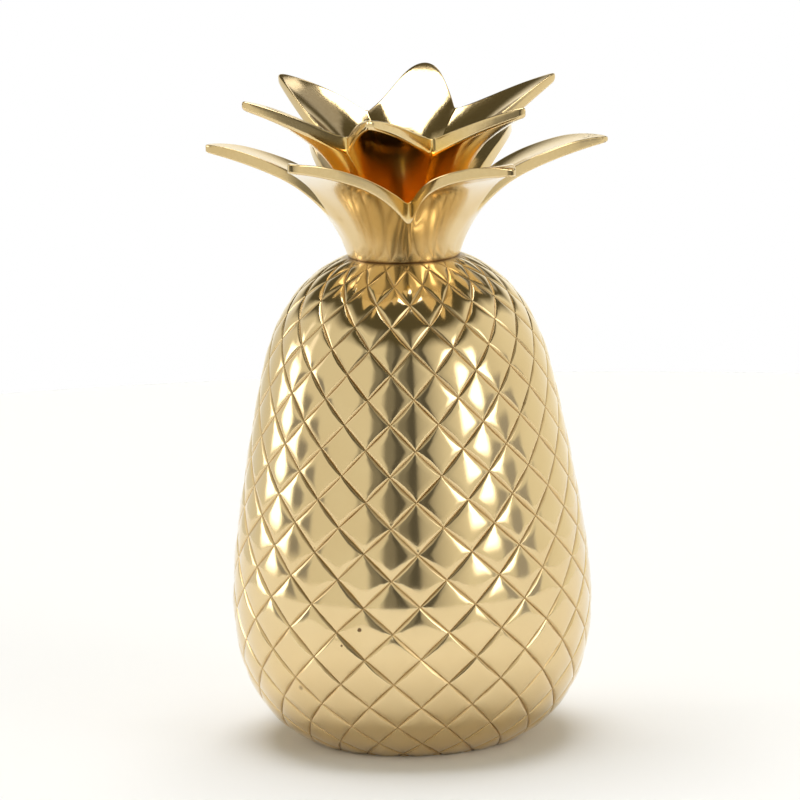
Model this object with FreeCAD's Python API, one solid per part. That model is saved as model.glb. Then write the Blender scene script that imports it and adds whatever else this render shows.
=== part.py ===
import FreeCAD, Part
import os
from math import acos, cos, hypot, pi, radians, sin, sqrt, tan
from FreeCAD import Vector

os.makedirs("parts", exist_ok=True)

# A polished brass candlestick in the shape of a pineapple.
# Millimetres and degrees. Z is up, the foot stands on Z = 0, and -Y is the front.

# Body: one hollow casting, cut all over with two families of slanting grooves
body_height = 143.7
belly_radius = 52.9
body_wall = 3.6
body_top_thickness = 5.5
seat_ledge = 0.32
foot_flange_thickness = 3.4
foot_ring_width = 4.1
disc_ledge = 3.9
cavity_stations = 8

# Outline of the body between its foot and the seat of the crowns.
# Each pair is height over body_height and radius over belly_radius.
body_outline_shares = (
    (0.034, 0.738),
    (0.115, 0.907),
    (0.262, 1.000),
    (0.370, 0.990),
    (0.493, 0.945),
    (0.719, 0.832),
    (0.862, 0.716),
    (0.948, 0.548),
)

# The outline runs on past the foot and the seat, to guide the curve through both.
# Each pair is height over body_height and radius over the radius of the foot or the seat.
below_foot_shares = (-0.036, 0.578)
above_seat_shares = (1.018, 0.252)

# Grooves: each family has this many, and they cross on level rings
grooves_per_family = 20
groove_phase_angle = -87.7
first_level_length = 2.3
foot_pitch = 8.04
pitch_loss = 0.053
levels_below_foot = 2
groove_depth = 1.05
groove_half_width = 1.15
crossing_depth = 0.32
cell_crown = 0.28
closing_point_rise = 3.0
mesh_tolerance = 0.0001

# Lower crown: a cup with six leaves, cast in one piece
neck_radius = 16.5
lower_neck_angle = 17.0
lower_flare_radius = 35.5
lower_flare_angle = 71.5
lower_curl_radius = 150.0
lower_wall_at_neck = 3.5
lower_wall_at_tip = 3.0
lower_floor_thickness = 3.5
lower_notch_radius = 24.2
lower_leaf_overhang = 7.1
lower_outline_radius = 46.0
lower_first_leaf_angle = 0.0

# Upper crown: a narrower cup that stands in the lower one and holds the candle
crown_seat_clearance = 0.2
upper_cup_height = 11.4
upper_neck_angle = 8.0
upper_flare_radius = 32.0
upper_flare_angle = 62.0
upper_curl_radius = 600.0
upper_wall_at_neck = 5.0
upper_wall_at_tip = 2.8
upper_floor_thickness = 4.2
upper_notch_radius = 23.8
upper_leaf_setback = 11.0
upper_outline_radius = 36.0
upper_first_leaf_angle = 20.0
candle_socket_radius = 11.25

# How far each leaf reaches, and how far its point is turned aside in degrees, leaf by leaf
lower_reach_shares = (1.013, 0.985, 0.990, 0.957, 0.975, 1.050)
lower_point_angles = (-1.0, -2.0, -3.0, 0.0, 0.5, 2.0)
upper_reach_shares = (1.000, 1.000, 0.990, 1.010, 0.990, 0.990)
upper_point_angles = (3.0, 0.0, -1.0, 0.0, 1.0, -4.0)

# A leaf is hollowed across by this radius on top of the round of the crown itself.
# Its blank is lofted through this many sections, as wide as this share of their radius.
leaf_hollow_radius = 140.0
blank_sections = 6
blank_width_share = 0.62
leaves_per_crown = 6
leaf_overrun = 5.0

# Screw, washers and nut that clamp both crowns to the body
screw_radius = 2.95
screw_hole_clearance = 0.35
screw_length = 25.0
screw_head_radius = 5.8
screw_slot_width = 1.6
screw_slot_depth = 1.4
screw_end_chamfer = 0.6
head_recess_clearance = 0.1
flat_washer_radius = 8.0
flat_washer_thickness = 1.6
spring_washer_radius = 5.6
spring_washer_thickness = 1.6
spring_washer_gap = 1.4
spring_washer_cut_angle = 25.0
nut_sides = 6
nut_across_flats = 10.0
nut_height = 5.0
nut_chamfer = 0.7
washer_bore_clearance = 0.25
thread_clearance = 0.04

# Disc and felt that close the hollow foot
base_disc_radius = 26.9
base_disc_thickness = 1.2
disc_clearance = 0.1
felt_inset = 0.5
base_felt_thickness = 1.5

# Sizes that follow from those above
rebate_radius = base_disc_radius + disc_clearance
foot_radius = rebate_radius + foot_ring_width
foot_opening_radius = base_disc_radius - disc_ledge
base_felt_radius = base_disc_radius - felt_inset
seat_radius = neck_radius + seat_ledge
screw_hole_radius = screw_radius + screw_hole_clearance
lower_leaf_reach = belly_radius + lower_leaf_overhang
upper_leaf_reach = lower_leaf_reach - upper_leaf_setback
lower_cup_radius = (
    neck_radius
    + lower_floor_thickness * tan(radians(lower_neck_angle))
    - lower_wall_at_neck / cos(radians(lower_neck_angle))
)
upper_base_radius = lower_cup_radius - crown_seat_clearance

cut_overrun = 2.0
height_search_steps = 40
origin = Vector(0, 0, 0)
up = Vector(0, 0, 1)


# Shapes that several pieces use


def turned(points):
    """Solid turned about Z from an outline of (radius, height) points."""
    corners = [Vector(r, 0, z) for r, z in points]
    return Part.Face(Part.makePolygon(corners + corners[:1])).revolve(origin, up, 360)


# Outline of the body


def outline_curve():
    """The outline as one smooth curve in the XZ plane, with X as the radius."""
    points = [
        Vector(below_foot_shares[1] * foot_radius, 0, below_foot_shares[0] * body_height),
        Vector(foot_radius, 0, 0),
    ]
    points += [Vector(r * belly_radius, 0, h * body_height) for h, r in body_outline_shares]
    points += [
        Vector(seat_radius, 0, body_height),
        Vector(above_seat_shares[1] * seat_radius, 0, above_seat_shares[0] * body_height),
    ]
    curve = Part.BSplineCurve()
    curve.interpolate(points)
    return curve.toShape()


def length_at_height(outline, height):
    """Length along the outline, from its lower end, up to the given height."""
    low, high = 0, outline.Length
    for _ in range(height_search_steps):
        middle = (low + high) / 2
        if outline.valueAt(outline.getParameterByLength(middle)).z < height:
            low = middle
        else:
            high = middle
    return low


def outline_frame(outline, length):
    """Radius, height and unit tangent (radial, vertical) at a length along the outline."""
    place = outline.getParameterByLength(length)
    point = outline.valueAt(place)
    tangent = outline.tangentAt(place)
    if tangent.z < 0:
        tangent = tangent.negative()
    return point.x, point.z, tangent.x, tangent.z


# Grooved skin of the body


class GroovedSkin:
    """Closed skin of triangles: diamond cells with low crowns between V-shaped grooves."""

    def __init__(self, outline):
        self.outline = outline
        self.step = 2 * pi / (2 * grooves_per_family)
        self.levels = self.level_lengths()
        self.points = []
        self.facets = []
        self.nodes = {}
        self.beds = {}

    def level_lengths(self):
        """Lengths along the outline where the grooves cross; the pitch shrinks evenly upwards."""
        first = length_at_height(self.outline, 0) + first_level_length
        lengths = [first - foot_pitch * (levels_below_foot - i) for i in range(levels_below_foot)]
        length, pitch = first, foot_pitch
        while length < self.outline.Length:
            lengths.append(length)
            length += pitch
            pitch -= pitch_loss
        return lengths

    def surface(self, level, column, sink=0):
        """Point on or under the smooth surface, with the local directions and groove scale."""
        whole = int(level)
        length = self.levels[whole]
        if level > whole:
            length = (self.levels[whole] + self.levels[whole + 1]) / 2
        radius, height, slope_out, slope_up = outline_frame(self.outline, length)
        angle = radians(groove_phase_angle) + column * self.step
        out = Vector(cos(angle), sin(angle), 0)
        along = out * slope_out + up * slope_up
        around = Vector(-sin(angle), cos(angle), 0)
        normal = out * slope_up - up * slope_out
        scale = sqrt(radius / belly_radius)
        return out * radius + up * height - normal * (sink * scale), along, around, normal, scale, radius

    def add(self, point):
        self.points.append(point)
        return len(self.points) - 1

    def node(self, level, column):
        """Crossing of two grooves."""
        key = (level, column % (2 * grooves_per_family))
        if key not in self.nodes:
            self.nodes[key] = self.add(self.surface(level, column, sink=crossing_depth)[0])
        return self.nodes[key]

    def bed(self, level, column):
        """Deepest point of a groove, half way between two crossings."""
        key = (level, (2 * column) % (4 * grooves_per_family))
        if key not in self.beds:
            self.beds[key] = self.add(self.surface(level, column, sink=groove_depth)[0])
        return self.beds[key]

    def rim(self, level, column, centre):
        """Edge of the cell beside the deepest point of a groove, on the side of the centre."""
        point, along, around, _, scale, radius = self.surface(level, column)
        rise = self.levels[int(level) + 1] - self.levels[int(level)]
        run = radius * self.step
        inward = self.points[centre] - point
        side = along * (run / hypot(rise, run)) + around * (rise / hypot(rise, run))
        other = along * (run / hypot(rise, run)) - around * (rise / hypot(rise, run))
        across = side if abs(side.dot(inward)) > abs(other.dot(inward)) else other
        if across.dot(inward) < 0:
            across = across.negative()
        return self.add(point + across * (groove_half_width * scale))

    def cell(self, level, column):
        """One diamond: a low pyramid inside its four grooves."""
        centre = self.add(self.surface(level, column, sink=-cell_crown)[0])
        corners = (
            (level - 1, column),
            (level, column + 1),
            (level + 1, column),
            (level, column - 1),
        )
        for first, second in zip(corners, corners[1:] + corners[:1]):
            half_level = (first[0] + second[0]) / 2
            half_column = (first[1] + second[1]) / 2
            start = self.node(*first)
            end = self.node(*second)
            bed = self.bed(half_level, half_column)
            rim = self.rim(half_level, half_column, centre)
            self.facets += [(start, bed, rim), (bed, end, rim)]
            self.facets += [(centre, start, rim), (centre, rim, end)]

    def close_ends(self):
        """Fans of triangles from the open edges to a point on the axis below and above."""
        sides = {(f[i], f[(i + 1) % 3]) for f in self.facets for i in range(3)}
        open_sides = [(a, b) for a, b in sides if (b, a) not in sides]
        lowest = min(p.z for p in self.points) - closing_point_rise
        highest = max(p.z for p in self.points) + closing_point_rise
        below = self.add(Vector(0, 0, lowest))
        above = self.add(Vector(0, 0, highest))
        for a, b in open_sides:
            tip = below if self.points[a].z < body_height / 2 else above
            self.facets.append((b, a, tip))

    def solid(self):
        for level in range(1, len(self.levels) - 1):
            for column in range(level % 2, 2 * grooves_per_family, 2):
                self.cell(level, column)
        self.close_ends()
        shape = Part.Shape()
        shape.makeShapeFromMesh(([tuple(p) for p in self.points], self.facets), mesh_tolerance)
        return Part.Solid(Part.Shell(shape.Faces))


def cavity_solid(outline):
    """Hollow of the body: cones one wall inside the outline, up to a flat ceiling."""
    floor_height = base_felt_thickness + base_disc_thickness + foot_flange_thickness
    ceiling_height = body_height - body_top_thickness
    start = length_at_height(outline, floor_height)
    end = length_at_height(outline, ceiling_height)
    last = cavity_stations - 1
    points = []
    for i in range(cavity_stations):
        radius, height, slope_out, slope_up = outline_frame(outline, start + (end - start) * i / last)
        points.append((radius - body_wall * slope_up, height + body_wall * slope_out))
    inside = [(r, z) for r, z in points if floor_height < z < ceiling_height]
    return turned([(0, floor_height), (inside[0][0], floor_height)] + inside + [
        (inside[-1][0], ceiling_height),
        (0, ceiling_height),
    ])


def make_body():
    outline = outline_curve()
    skin = GroovedSkin(outline).solid()
    outer = Part.makeCylinder(belly_radius + groove_depth + cut_overrun, body_height)
    rebate_depth = base_felt_thickness + base_disc_thickness
    hollows = [
        cavity_solid(outline),
        Part.makeCylinder(rebate_radius, rebate_depth + cut_overrun, Vector(0, 0, -cut_overrun)),
        Part.makeCylinder(foot_opening_radius, body_height / 2),
        Part.makeCylinder(screw_hole_radius, body_height + cut_overrun),
    ]
    return skin.common(outer.cut(hollows))


# Leaf crowns


class LeafPath:
    """Middle line of a leaf's outer face: straight neck, flare, then a slight upward curl."""

    def __init__(self, radius, height, rise, neck_angle, flare_radius, flare_angle, curl_radius, reach):
        self.radius = radius
        self.height = height
        self.neck_slope = radians(neck_angle)
        self.neck_length = rise / cos(self.neck_slope)
        self.flare_radius = flare_radius
        self.flare_slope = radians(flare_angle)
        self.flare_length = flare_radius * (self.flare_slope - self.neck_slope)
        self.curl_radius = curl_radius
        self.length = self.neck_length + self.flare_length
        left = reach - self.at(self.length)[0]
        self.length += curl_radius * (self.flare_slope - acos(cos(self.flare_slope) + left / curl_radius))

    def at(self, length):
        """Radius, height and slope from the vertical at a length from the base."""
        neck = min(length, self.neck_length)
        r = self.radius + neck * sin(self.neck_slope)
        z = self.height + neck * cos(self.neck_slope)
        slope = self.neck_slope
        flare = min(max(length - self.neck_length, 0), self.flare_length)
        turned = slope + flare / self.flare_radius
        r += self.flare_radius * (cos(slope) - cos(turned))
        z += self.flare_radius * (sin(turned) - sin(slope))
        slope = turned
        curl = max(length - self.neck_length - self.flare_length, 0)
        turned = slope - curl / self.curl_radius
        r += self.curl_radius * (cos(turned) - cos(slope))
        z += self.curl_radius * (sin(slope) - sin(turned))
        return r, z, turned


def leaf_blank(path, wall_at_neck, wall_at_tip):
    """Hollowed strip along the path, wider and longer than the finished leaf."""
    wires = []
    last = blank_sections - 1
    for i in range(blank_sections):
        length = -leaf_overrun + (path.length + 2 * leaf_overrun) * i / last
        radius, height, slope = path.at(length)
        hollow = 1 / (cos(slope) / radius + 1 / leaf_hollow_radius)
        wall = wall_at_neck + (wall_at_tip - wall_at_neck) * i / last
        half_width = radius * blank_width_share
        inward = Vector(-cos(slope), 0, sin(slope))
        side = Vector(0, 1, 0)
        centre = Vector(radius, 0, height) + inward * hollow
        lean = sqrt(hollow ** 2 - half_width ** 2) / hollow
        spread = half_width / hollow
        edge = -inward * lean + side * spread
        other_edge = -inward * lean - side * spread
        outer = [centre + d * hollow for d in (edge, -inward, other_edge)]
        inner = [centre + d * (hollow - wall) for d in (other_edge, -inward, edge)]
        edges = [
            Part.Arc(*outer).toShape(),
            Part.makeLine(outer[2], inner[0]),
            Part.Arc(*inner).toShape(),
            Part.makeLine(inner[2], outer[0]),
        ]
        wires.append(Part.Wire(edges))
    return Part.makeLoft(wires, True, False)


def leaf_prism(base_height, rise, notch_radius, reach, point_angle, outline_radius):
    """Upright prism over one leaf seen from above: a sector of the cup, then a bowed point."""
    half_sector = pi / leaves_per_crown
    point = Vector(reach * cos(radians(point_angle)), reach * sin(radians(point_angle)), base_height)
    centre = Vector(0, 0, base_height)
    notches = []
    arcs = []
    for side in (-1, 1):
        notch = centre + Vector(notch_radius * cos(half_sector), side * notch_radius * sin(half_sector), 0)
        chord = point - notch
        middle = (notch + point) / 2
        bow = outline_radius - sqrt(outline_radius ** 2 - (chord.Length / 2) ** 2)
        outward = Vector(-chord.y, chord.x, 0).normalize() * (side * bow)
        arcs.append(Part.Arc(notch, middle + outward, point).toShape())
        notches.append(notch)
    edges = [
        Part.makeLine(centre, notches[0]),
        arcs[0],
        arcs[1],
        Part.makeLine(notches[1], centre),
    ]
    return Part.Face(Part.Wire(edges)).extrude(up * rise)


def leaf_ring(path, blank, notch_radius, reach, outline_radius, first_angle, reach_shares, point_angles):
    """All the leaves of one crown, joined along their cup sectors."""
    rise = path.at(path.length)[1] - path.height + 2 * leaf_overrun
    leaves = []
    for i in range(leaves_per_crown):
        prism = leaf_prism(
            path.height, rise, notch_radius, reach * reach_shares[i], point_angles[i], outline_radius
        )
        leaf = blank.common(prism)
        leaf.rotate(origin, up, first_angle + 360 * i / leaves_per_crown)
        leaves.append(leaf)
    return leaves[0].multiFuse(leaves[1:])


def make_lower_crown():
    path = LeafPath(
        neck_radius, body_height, 0, lower_neck_angle, lower_flare_radius, lower_flare_angle,
        lower_curl_radius, lower_leaf_reach * max(lower_reach_shares),
    )
    blank = leaf_blank(path, lower_wall_at_neck, lower_wall_at_tip)
    ring = leaf_ring(
        path, blank, lower_notch_radius, lower_leaf_reach, lower_outline_radius,
        lower_first_leaf_angle, lower_reach_shares, lower_point_angles,
    )
    floor_radius = neck_radius - lower_wall_at_neck / 2
    floor = Part.makeCylinder(floor_radius, lower_floor_thickness, Vector(0, 0, body_height))
    hole = Part.makeCylinder(
        screw_hole_radius, lower_floor_thickness + 2 * cut_overrun, Vector(0, 0, body_height - cut_overrun)
    )
    return ring.fuse(floor).cut(hole).removeSplitter()


def make_upper_crown():
    base_height = body_height + lower_floor_thickness
    path = LeafPath(
        upper_base_radius, base_height, upper_cup_height, upper_neck_angle, upper_flare_radius,
        upper_flare_angle, upper_curl_radius, upper_leaf_reach * max(upper_reach_shares),
    )
    blank = leaf_blank(path, upper_wall_at_neck, upper_wall_at_tip)
    ring = leaf_ring(
        path, blank, upper_notch_radius, upper_leaf_reach, upper_outline_radius,
        upper_first_leaf_angle, upper_reach_shares, upper_point_angles,
    )
    floor_radius = upper_base_radius - upper_wall_at_neck / 2
    floor_top = base_height + upper_floor_thickness
    floor = Part.makeCylinder(floor_radius, upper_floor_thickness, Vector(0, 0, base_height))
    socket = Part.makeCylinder(candle_socket_radius, path.length, Vector(0, 0, floor_top))
    hole = Part.makeCylinder(
        screw_hole_radius, upper_floor_thickness + 2 * cut_overrun, Vector(0, 0, base_height - cut_overrun)
    )
    recess_radius = screw_head_radius + head_recess_clearance
    recess = Part.makeCone(
        screw_hole_radius, recess_radius, recess_radius - screw_hole_radius,
        Vector(0, 0, floor_top - recess_radius + screw_hole_radius),
    )
    return ring.fuse(floor).cut([socket, hole, recess]).removeSplitter()


# Clamping screw, washers and nut


def make_screw():
    top = body_height + lower_floor_thickness + upper_floor_thickness
    bottom = top - screw_length
    screw = turned([
        (0, bottom),
        (screw_radius - screw_end_chamfer, bottom),
        (screw_radius, bottom + screw_end_chamfer),
        (screw_radius, top - screw_head_radius + screw_radius),
        (screw_head_radius, top),
        (0, top),
    ])
    slot = Part.makeBox(
        2 * (screw_head_radius + cut_overrun), screw_slot_width, screw_slot_depth + cut_overrun,
        Vector(-screw_head_radius - cut_overrun, -screw_slot_width / 2, top - screw_slot_depth),
    )
    return screw.cut(slot)


def ring_solid(outer_radius, inner_radius, thickness, bottom):
    base = Vector(0, 0, bottom)
    hole_base = Vector(0, 0, bottom - cut_overrun)
    outer = Part.makeCylinder(outer_radius, thickness, base)
    return outer.cut(Part.makeCylinder(inner_radius, thickness + 2 * cut_overrun, hole_base))


def make_flat_washer():
    bottom = body_height - body_top_thickness - flat_washer_thickness
    return ring_solid(flat_washer_radius, screw_radius + washer_bore_clearance, flat_washer_thickness, bottom)


def make_spring_washer():
    """Ring split by one slanting cut, drawn flat as it is when tight."""
    bottom = body_height - body_top_thickness - flat_washer_thickness - spring_washer_thickness
    ring = ring_solid(
        spring_washer_radius, screw_radius + washer_bore_clearance, spring_washer_thickness, bottom
    )
    middle = bottom + spring_washer_thickness / 2
    cut = Part.makeBox(
        spring_washer_radius + cut_overrun, spring_washer_gap, 2 * (spring_washer_thickness + cut_overrun),
        Vector(0, -spring_washer_gap / 2, middle - spring_washer_thickness - cut_overrun),
    )
    cut.rotate(Vector(0, 0, middle), Vector(1, 0, 0), spring_washer_cut_angle)
    return ring.cut(cut)


def make_nut():
    """Hexagon with its corners turned off at both ends."""
    top = body_height - body_top_thickness - flat_washer_thickness - spring_washer_thickness
    bottom = top - nut_height
    corner_radius = nut_across_flats / 2 / cos(pi / nut_sides)
    turns = [2 * pi * i / nut_sides for i in range(nut_sides + 1)]
    corners = [Vector(corner_radius * cos(turn), corner_radius * sin(turn), bottom) for turn in turns]
    hexagon = Part.Face(Part.makePolygon(corners)).extrude(up * nut_height)
    barrel = turned([
        (0, bottom),
        (corner_radius - nut_chamfer, bottom),
        (corner_radius, bottom + nut_chamfer),
        (corner_radius, top - nut_chamfer),
        (corner_radius - nut_chamfer, top),
        (0, top),
    ])
    bore = Part.makeCylinder(
        screw_radius + thread_clearance, nut_height + 2 * cut_overrun, Vector(0, 0, bottom - cut_overrun)
    )
    return hexagon.common(barrel).cut(bore)


# Disc and felt under the foot


def make_base_disc():
    return Part.makeCylinder(base_disc_radius, base_disc_thickness, Vector(0, 0, base_felt_thickness))


def make_base_felt():
    return Part.makeCylinder(base_felt_radius, base_felt_thickness)


pieces = {
    "body": make_body,
    "lower_crown": make_lower_crown,
    "upper_crown": make_upper_crown,
    "crown_screw": make_screw,
    "flat_washer": make_flat_washer,
    "spring_washer": make_spring_washer,
    "hex_nut": make_nut,
    "base_disc": make_base_disc,
    "base_felt": make_base_felt,
}
for name, make in pieces.items():
    shape = make()
    shape.exportStep(f"parts/{name}.step")
    print(name, shape.isValid(), len(shape.Solids), len(shape.Faces), round(shape.Volume, 1))
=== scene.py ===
from dataclasses import dataclass
from math import acos, atan2, cos, pi, radians, sin, sqrt

import bpy
import numpy as np
from bpy.props import FloatProperty, FloatVectorProperty, IntProperty, PointerProperty
from mathutils import Matrix, Vector


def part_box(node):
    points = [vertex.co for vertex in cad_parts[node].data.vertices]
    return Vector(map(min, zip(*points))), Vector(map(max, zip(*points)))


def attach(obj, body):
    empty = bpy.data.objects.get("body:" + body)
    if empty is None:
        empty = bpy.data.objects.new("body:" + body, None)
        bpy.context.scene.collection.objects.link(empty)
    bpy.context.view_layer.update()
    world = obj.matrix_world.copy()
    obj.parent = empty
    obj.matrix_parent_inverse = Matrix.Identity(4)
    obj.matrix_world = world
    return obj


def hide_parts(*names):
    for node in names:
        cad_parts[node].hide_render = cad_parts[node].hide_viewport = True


bl_info = {
    "name": "Pineapple candlestick",
    "version": (1, 0, 0),
    "blender": (4, 5, 0),
    "location": "3D View > Sidebar > Candlestick",
    "description": "A cast brass candlestick shaped like a pineapple, with its hardware and felt",
    "category": "Add Mesh",
}

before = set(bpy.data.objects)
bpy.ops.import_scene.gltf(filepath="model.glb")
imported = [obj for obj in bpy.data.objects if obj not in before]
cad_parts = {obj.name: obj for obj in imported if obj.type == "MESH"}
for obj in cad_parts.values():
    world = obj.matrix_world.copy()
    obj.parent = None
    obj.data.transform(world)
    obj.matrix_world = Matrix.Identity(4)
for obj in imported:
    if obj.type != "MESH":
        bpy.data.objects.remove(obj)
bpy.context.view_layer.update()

ROOT = "root"
MM = 0.001

# Distances within which vertices count as one, in metres
BISECT_REACH = 0.0000001
TURNED_REACH = 0.000002
LINING_REACH = 0.000003
CROWN_REACH = 0.000005
RIM_REACH = 0.00001
STRIP_REACH = 0.00002

# Sizes of the pieces, in millimetres and degrees where nothing else is said
BODY_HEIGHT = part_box("body")[1].z / MM
BELLY_RADIUS = 52.9
FOOT_RADIUS = 31.1
SEAT_RADIUS = 16.82

# The body's outline, as shares of its height and of its largest radius
OUTLINE_SHARES = (
    (0.034, 0.738),
    (0.115, 0.907),
    (0.262, 1.000),
    (0.370, 0.990),
    (0.493, 0.945),
    (0.719, 0.832),
    (0.862, 0.716),
    (0.948, 0.548),
)
BELOW_FOOT_SHARES = (-0.036, 0.578)
ABOVE_SEAT_SHARES = (1.018, 0.252)
OUTLINE_STEPS = 4000

# The cuts cross on level rings whose pitch shrinks towards the neck
CUTS_PER_FAMILY = 20
CUT_PHASE = -87.7
FIRST_LEVEL = 2.3
FOOT_PITCH = 8.04
PITCH_LOSS = 0.053
LEVELS_BELOW = 2
BELLY_LEVEL = 8.0
CELL_ROWS = 26
LATTICE = (CELL_ROWS + 4, 2 * CUTS_PER_FAMILY)

# Form of a cut and of the rolled edge beside it
CUT_SWELL = 0.75
CUT_SHRINK = 0.4
LIP = 0.16
ROLL_POWER = 1.25
MOST_ROLL = 1.35
DEPTH_SPREAD = (0.78, 1.15)
WIDTH_SPREAD = (0.85, 1.15)
NECK_FADE_LEVELS = 4
SEAT_FADE = 0.4

# Mesh lines of a cell, as shares of a cut's half width, then of the rolled edge beside it
LINES_IN_CUT = (0, 0.86, 1.16)
LINES_BESIDE_CUT = (0.35, 0.9, 1.8)
LINE_STEP_SHARE = 0.075

# Hollow of the body under its skin, as radius and height
WALL = 3.6
TOP_THICKNESS = 5.5
FOOT_HOLLOW = ((27.0, 0.0), (27.0, 2.7), (23.0, 2.7), (23.0, 6.1))
SCREW_HOLE = 3.3
HOLLOW_STATIONS = 14
RING_STEPS = 160
SEAM_HEIGHT = 0.4

# Pits in the casting, as the place of the middle and the radius
CASTING_PITS = (((-15.4, -50.6, 42.7), 0.75), ((-20.85, -48.9, 37.7), 0.5))
PITTED_TIP = (58.0, 3.5, 175.2)

# Leaves of both crowns
LEAVES = 6
HALF_LEAF = pi / LEAVES
LEAF_COLUMNS = 49
LEAF_ROWS = 38
COLUMN_POWER = 1.15
TURN_POWER = 1.4
BEND_POWER = 1.6
BEND_ROOT_SHARE = 0.9
NOTCH_PART = 0.05
NOTCH_SPREAD = 9
WALL_OVERRUN = 5
SEARCH_OVERRUN = 4.0
SEARCH_STEPS = 32
THINNED_LENGTH = 16
ROUNDING_SHARES = (0.2, 0.4, 0.6, 0.8)
EDGE_SHARES = (0, 0.33, 0.67, 1)
MOST_EDGE_SHARE = 0.42

# Floors of the crowns, and the neck with its shallow flutes
LOWER_FLOOR = 3.5
UPPER_FLOOR = 4.2
NECK_TOP = 172.0
NECK_FADE = 12
FLUTE_START = 3
RIPPLE = 0.035
RIPPLE_WAVES = (5, 7, 8, 11, 13, 17)


# Helpers for modelling


def deselect():
    bpy.ops.object.select_all(action="DESELECT")


def pick(*pieces):
    """Selects these pieces alone and makes the first one active."""
    deselect()
    for piece in pieces:
        piece.select_set(True)
    bpy.context.view_layer.objects.active = pieces[0]


def vertex_array(piece):
    co = np.empty(len(piece.data.vertices) * 3)
    piece.data.vertices.foreach_get("co", co)
    return co.reshape(-1, 3)


def set_vertices(piece, co):
    piece.data.vertices.foreach_set("co", np.asarray(co, float).ravel())
    piece.data.update()


def from_axis(points):
    """Distance of points from the axis."""
    return np.hypot(points[..., 0], points[..., 1])


def plan_angle(points):
    return np.arctan2(points[..., 1], points[..., 0])


def rounded(start, corner, end, t):
    """Points of a curve from start to end that bends towards the corner."""
    return (1 - t) ** 2 * start + 2 * t * (1 - t) * corner + t ** 2 * end


def settle(piece, name):
    """Applies the piece's place, so that its object sits at the origin, and names it."""
    pick(piece)
    bpy.ops.object.transform_apply(location=True, rotation=True, scale=True)
    piece.name = name
    piece.data.name = name
    return piece


def new_sheet(rows, columns):
    """A flat grid with these many vertices each way, and the row and column of each vertex."""
    deselect()
    bpy.ops.mesh.primitive_grid_add(
        x_subdivisions=columns - 1, y_subdivisions=rows - 1, size=1, location=(0, 0, 0)
    )
    piece = bpy.context.object
    co = vertex_array(piece)
    column = np.rint((co[:, 0] + 0.5) * (columns - 1)).astype(int)
    row = np.rint((co[:, 1] + 0.5) * (rows - 1)).astype(int)
    return piece, row, column


def edit_all(piece, operator, **values):
    """Runs an edit mode operator on all of the piece."""
    pick(piece)
    bpy.ops.object.mode_set(mode="EDIT")
    bpy.ops.mesh.select_all(action="SELECT")
    operator(**values)
    bpy.ops.object.mode_set(mode="OBJECT")


def merge_doubles(piece, distance):
    edit_all(piece, bpy.ops.mesh.remove_doubles, threshold=distance)


def edge_uses(piece):
    """How many faces use each edge."""
    used = np.empty(len(piece.data.loops), np.int32)
    piece.data.loops.foreach_get("edge_index", used)
    return np.bincount(used, minlength=len(piece.data.edges))


def smooth_by_angle(piece, angle):
    pick(piece)
    bpy.ops.object.shade_smooth_by_angle(angle=radians(angle))


def finish_mesh(piece, angle):
    """Turns the faces outwards, stops the build at a hole or stray face, and smooths up to an angle."""
    edit_all(piece, bpy.ops.mesh.normals_make_consistent, inside=False)
    if (edge_uses(piece) != 2).any():
        raise RuntimeError(piece.name + " isn't closed")
    smooth_by_angle(piece, angle)


def bridge_open_edges(piece, test):
    """Bridges the two open loops whose vertices pass the test."""
    mesh = piece.data
    ends = np.empty(2 * len(mesh.edges), np.int32)
    mesh.edges.foreach_get("vertices", ends)
    ends = ends.reshape(-1, 2)
    chosen = (edge_uses(piece) == 1) & test(vertex_array(piece))[ends].all(axis=1)
    picked = np.zeros(len(mesh.vertices), bool)
    picked[ends[chosen].ravel()] = True
    pick(piece)
    bpy.ops.object.mode_set(mode="EDIT")
    bpy.ops.mesh.select_mode(type="EDGE")
    bpy.ops.mesh.select_all(action="DESELECT")
    bpy.ops.object.mode_set(mode="OBJECT")
    mesh.vertices.foreach_set("select", picked)
    mesh.edges.foreach_set("select", chosen)
    bpy.ops.object.mode_set(mode="EDIT")
    bpy.ops.mesh.bridge_edge_loops()
    bpy.ops.mesh.select_all(action="DESELECT")
    bpy.ops.mesh.select_mode(type="VERT")
    bpy.ops.object.mode_set(mode="OBJECT")


def turned(points, steps, name):
    """Turns an outline of (radius, height) points by extruding a ring along it.

    An outline that starts on the axis also ends there. Another one is left open.
    """
    deselect()
    on_axis = points[0][0] == 0
    rings = [p for p in points if p[0] > 0]
    radius, height = rings[0]
    bpy.ops.mesh.primitive_circle_add(
        vertices=steps, radius=radius * MM, location=(0, 0, height * MM),
        fill_type="TRIFAN" if on_axis else "NOTHING",
    )
    piece = bpy.context.object
    settle(piece, name)
    bpy.ops.object.mode_set(mode="EDIT")
    bpy.ops.mesh.select_mode(type="EDGE")
    bpy.ops.mesh.select_all(action="SELECT")
    if on_axis:
        bpy.ops.mesh.region_to_loop()
    for next_radius, next_height in rings[1:]:
        bpy.ops.mesh.extrude_edges_move(
            TRANSFORM_OT_translate={"value": (0, 0, (next_height - height) * MM)}
        )
        share = next_radius / radius
        bpy.ops.transform.resize(value=(share, share, 1), center_override=(0, 0, next_height * MM))
        radius, height = next_radius, next_height
    if on_axis:
        bpy.ops.mesh.extrude_edges_move(TRANSFORM_OT_translate={"value": (0, 0, 0)})
        bpy.ops.mesh.merge(type="CENTER")
    bpy.ops.mesh.select_mode(type="VERT")
    bpy.ops.object.mode_set(mode="OBJECT")
    merge_doubles(piece, TURNED_REACH)
    return piece


def set_attribute(piece, name, values):
    layer = piece.data.attributes.get(name) or piece.data.attributes.new(name, "FLOAT", "POINT")
    layer.data.foreach_set("value", np.asarray(values, np.float32))


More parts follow.
